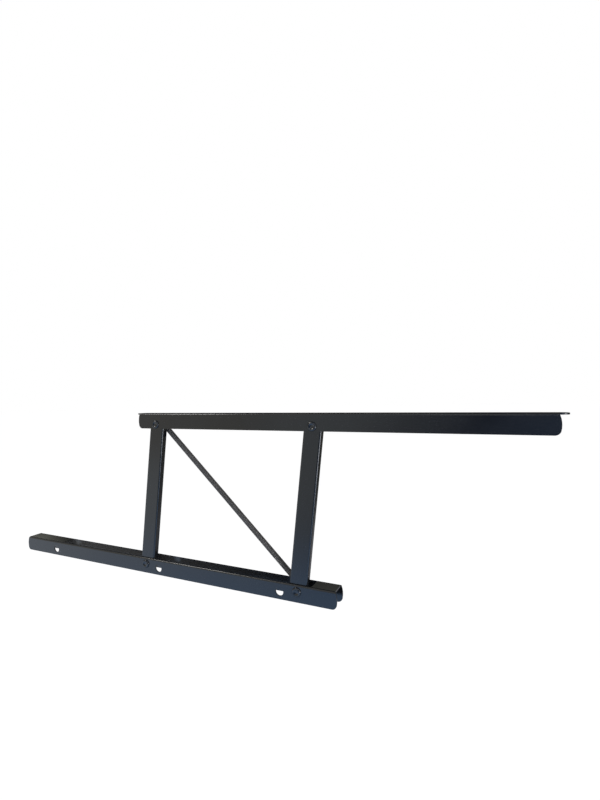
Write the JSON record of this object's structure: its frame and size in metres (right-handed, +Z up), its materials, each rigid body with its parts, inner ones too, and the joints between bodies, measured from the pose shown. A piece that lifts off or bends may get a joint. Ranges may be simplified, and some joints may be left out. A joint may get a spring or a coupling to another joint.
{
  "type": "lift top table mechanism",
  "caption": "Side unit of a lift top table mechanism: slotted channel base rail, parallel tube links on rivets, channel top rail and a diagonal extension spring, shown raised.",
  "frame": {"origin": "midway between the two end screw holes of the base rail, on the rail's face that lies against the table's side", "axes": "+X runs forward along the rails, towards the side the raised top moves to; +Y points into the table's side; +Z is up, towards the tabletop"},
  "size_m": [0.7392, 0.0228, 0.2151],
  "materials": {
    "rail_paint": "satin black powder coat",
    "link_paint": "satin black powder coat",
    "rivet_black": "gloss black",
    "washer_plastic": "matt black",
    "bush_steel": "bare turned steel",
    "spring_steel": "dark oiled spring wire"
  },
  "bodies": {
    "base": {"base_rail": "rail_paint", "base_front_rivet": "rivet_black", "base_front_outer_washer": "washer_plastic", "base_front_inner_washer": "washer_plastic", "base_front_spacer": "bush_steel", "base_rear_rivet": "rivet_black", "base_rear_outer_washer": "washer_plastic", "base_rear_inner_washer": "washer_plastic", "base_rear_spacer": "bush_steel"},
    "front_link": {"front_link": "link_paint", "base_front_bush": "bush_steel", "top_front_bush": "bush_steel"},
    "rear_link": {"rear_link": "link_paint", "base_rear_bush": "bush_steel", "top_rear_bush": "bush_steel"},
    "top": {"top_rail": "rail_paint", "top_front_rivet": "rivet_black", "top_front_outer_washer": "washer_plastic", "top_front_inner_washer": "washer_plastic", "top_front_spacer": "bush_steel", "top_rear_rivet": "rivet_black", "top_rear_outer_washer": "washer_plastic", "top_rear_inner_washer": "washer_plastic", "top_rear_spacer": "bush_steel"},
    "spring": {"lift_spring": "spring_steel"},
    "spring_tip": {"spring_top_hook": "spring_steel"}
  },
  "joints": [
    {"name": "lift", "type": "hinge", "parent": "base", "child": "front_link", "pos_m": [0.213, -0.0105, 0.003], "axis": [0, -1, 0], "range_deg": [0, 90], "stiffness_Nm_per_rad": 1, "springref_deg": -20.05},
    {"name": "rear_link_pivot", "type": "hinge", "parent": "base", "child": "rear_link", "pos_m": [-0.012, -0.0105, 0.003], "axis": [0, -1, 0], "range_deg": [0, 90]},
    {"name": "top_pivot", "type": "hinge", "parent": "front_link", "child": "top", "pos_m": [0.23616, -0.0105, 0.19158], "axis": [0, -1, 0], "range_deg": [-90, 0]},
    {"name": "spring_swing", "type": "hinge", "parent": "base", "child": "spring", "pos_m": [0.213, -0.0058, 0.003], "axis": [0, -1, 0], "range_deg": [0, 39.86]},
    {"name": "spring_stretch", "type": "slide", "parent": "spring", "child": "spring_tip", "axis": [-0.7307, 0, 0.6827], "range_m": [0, 0.138], "deforming": ["lift_spring", "spring_top_hook"]}
  ],
  "couplings": [
    {"joint": "rear_link_pivot", "follows": "lift", "ratio": 1},
    {"joint": "top_pivot", "follows": "lift", "ratio": -1},
    {"joint": "spring_swing", "follows": "lift", "ratio": 0.44278},
    {"joint": "spring_stretch", "follows": "lift", "m_per_rad": 0.087852}
  ]
}
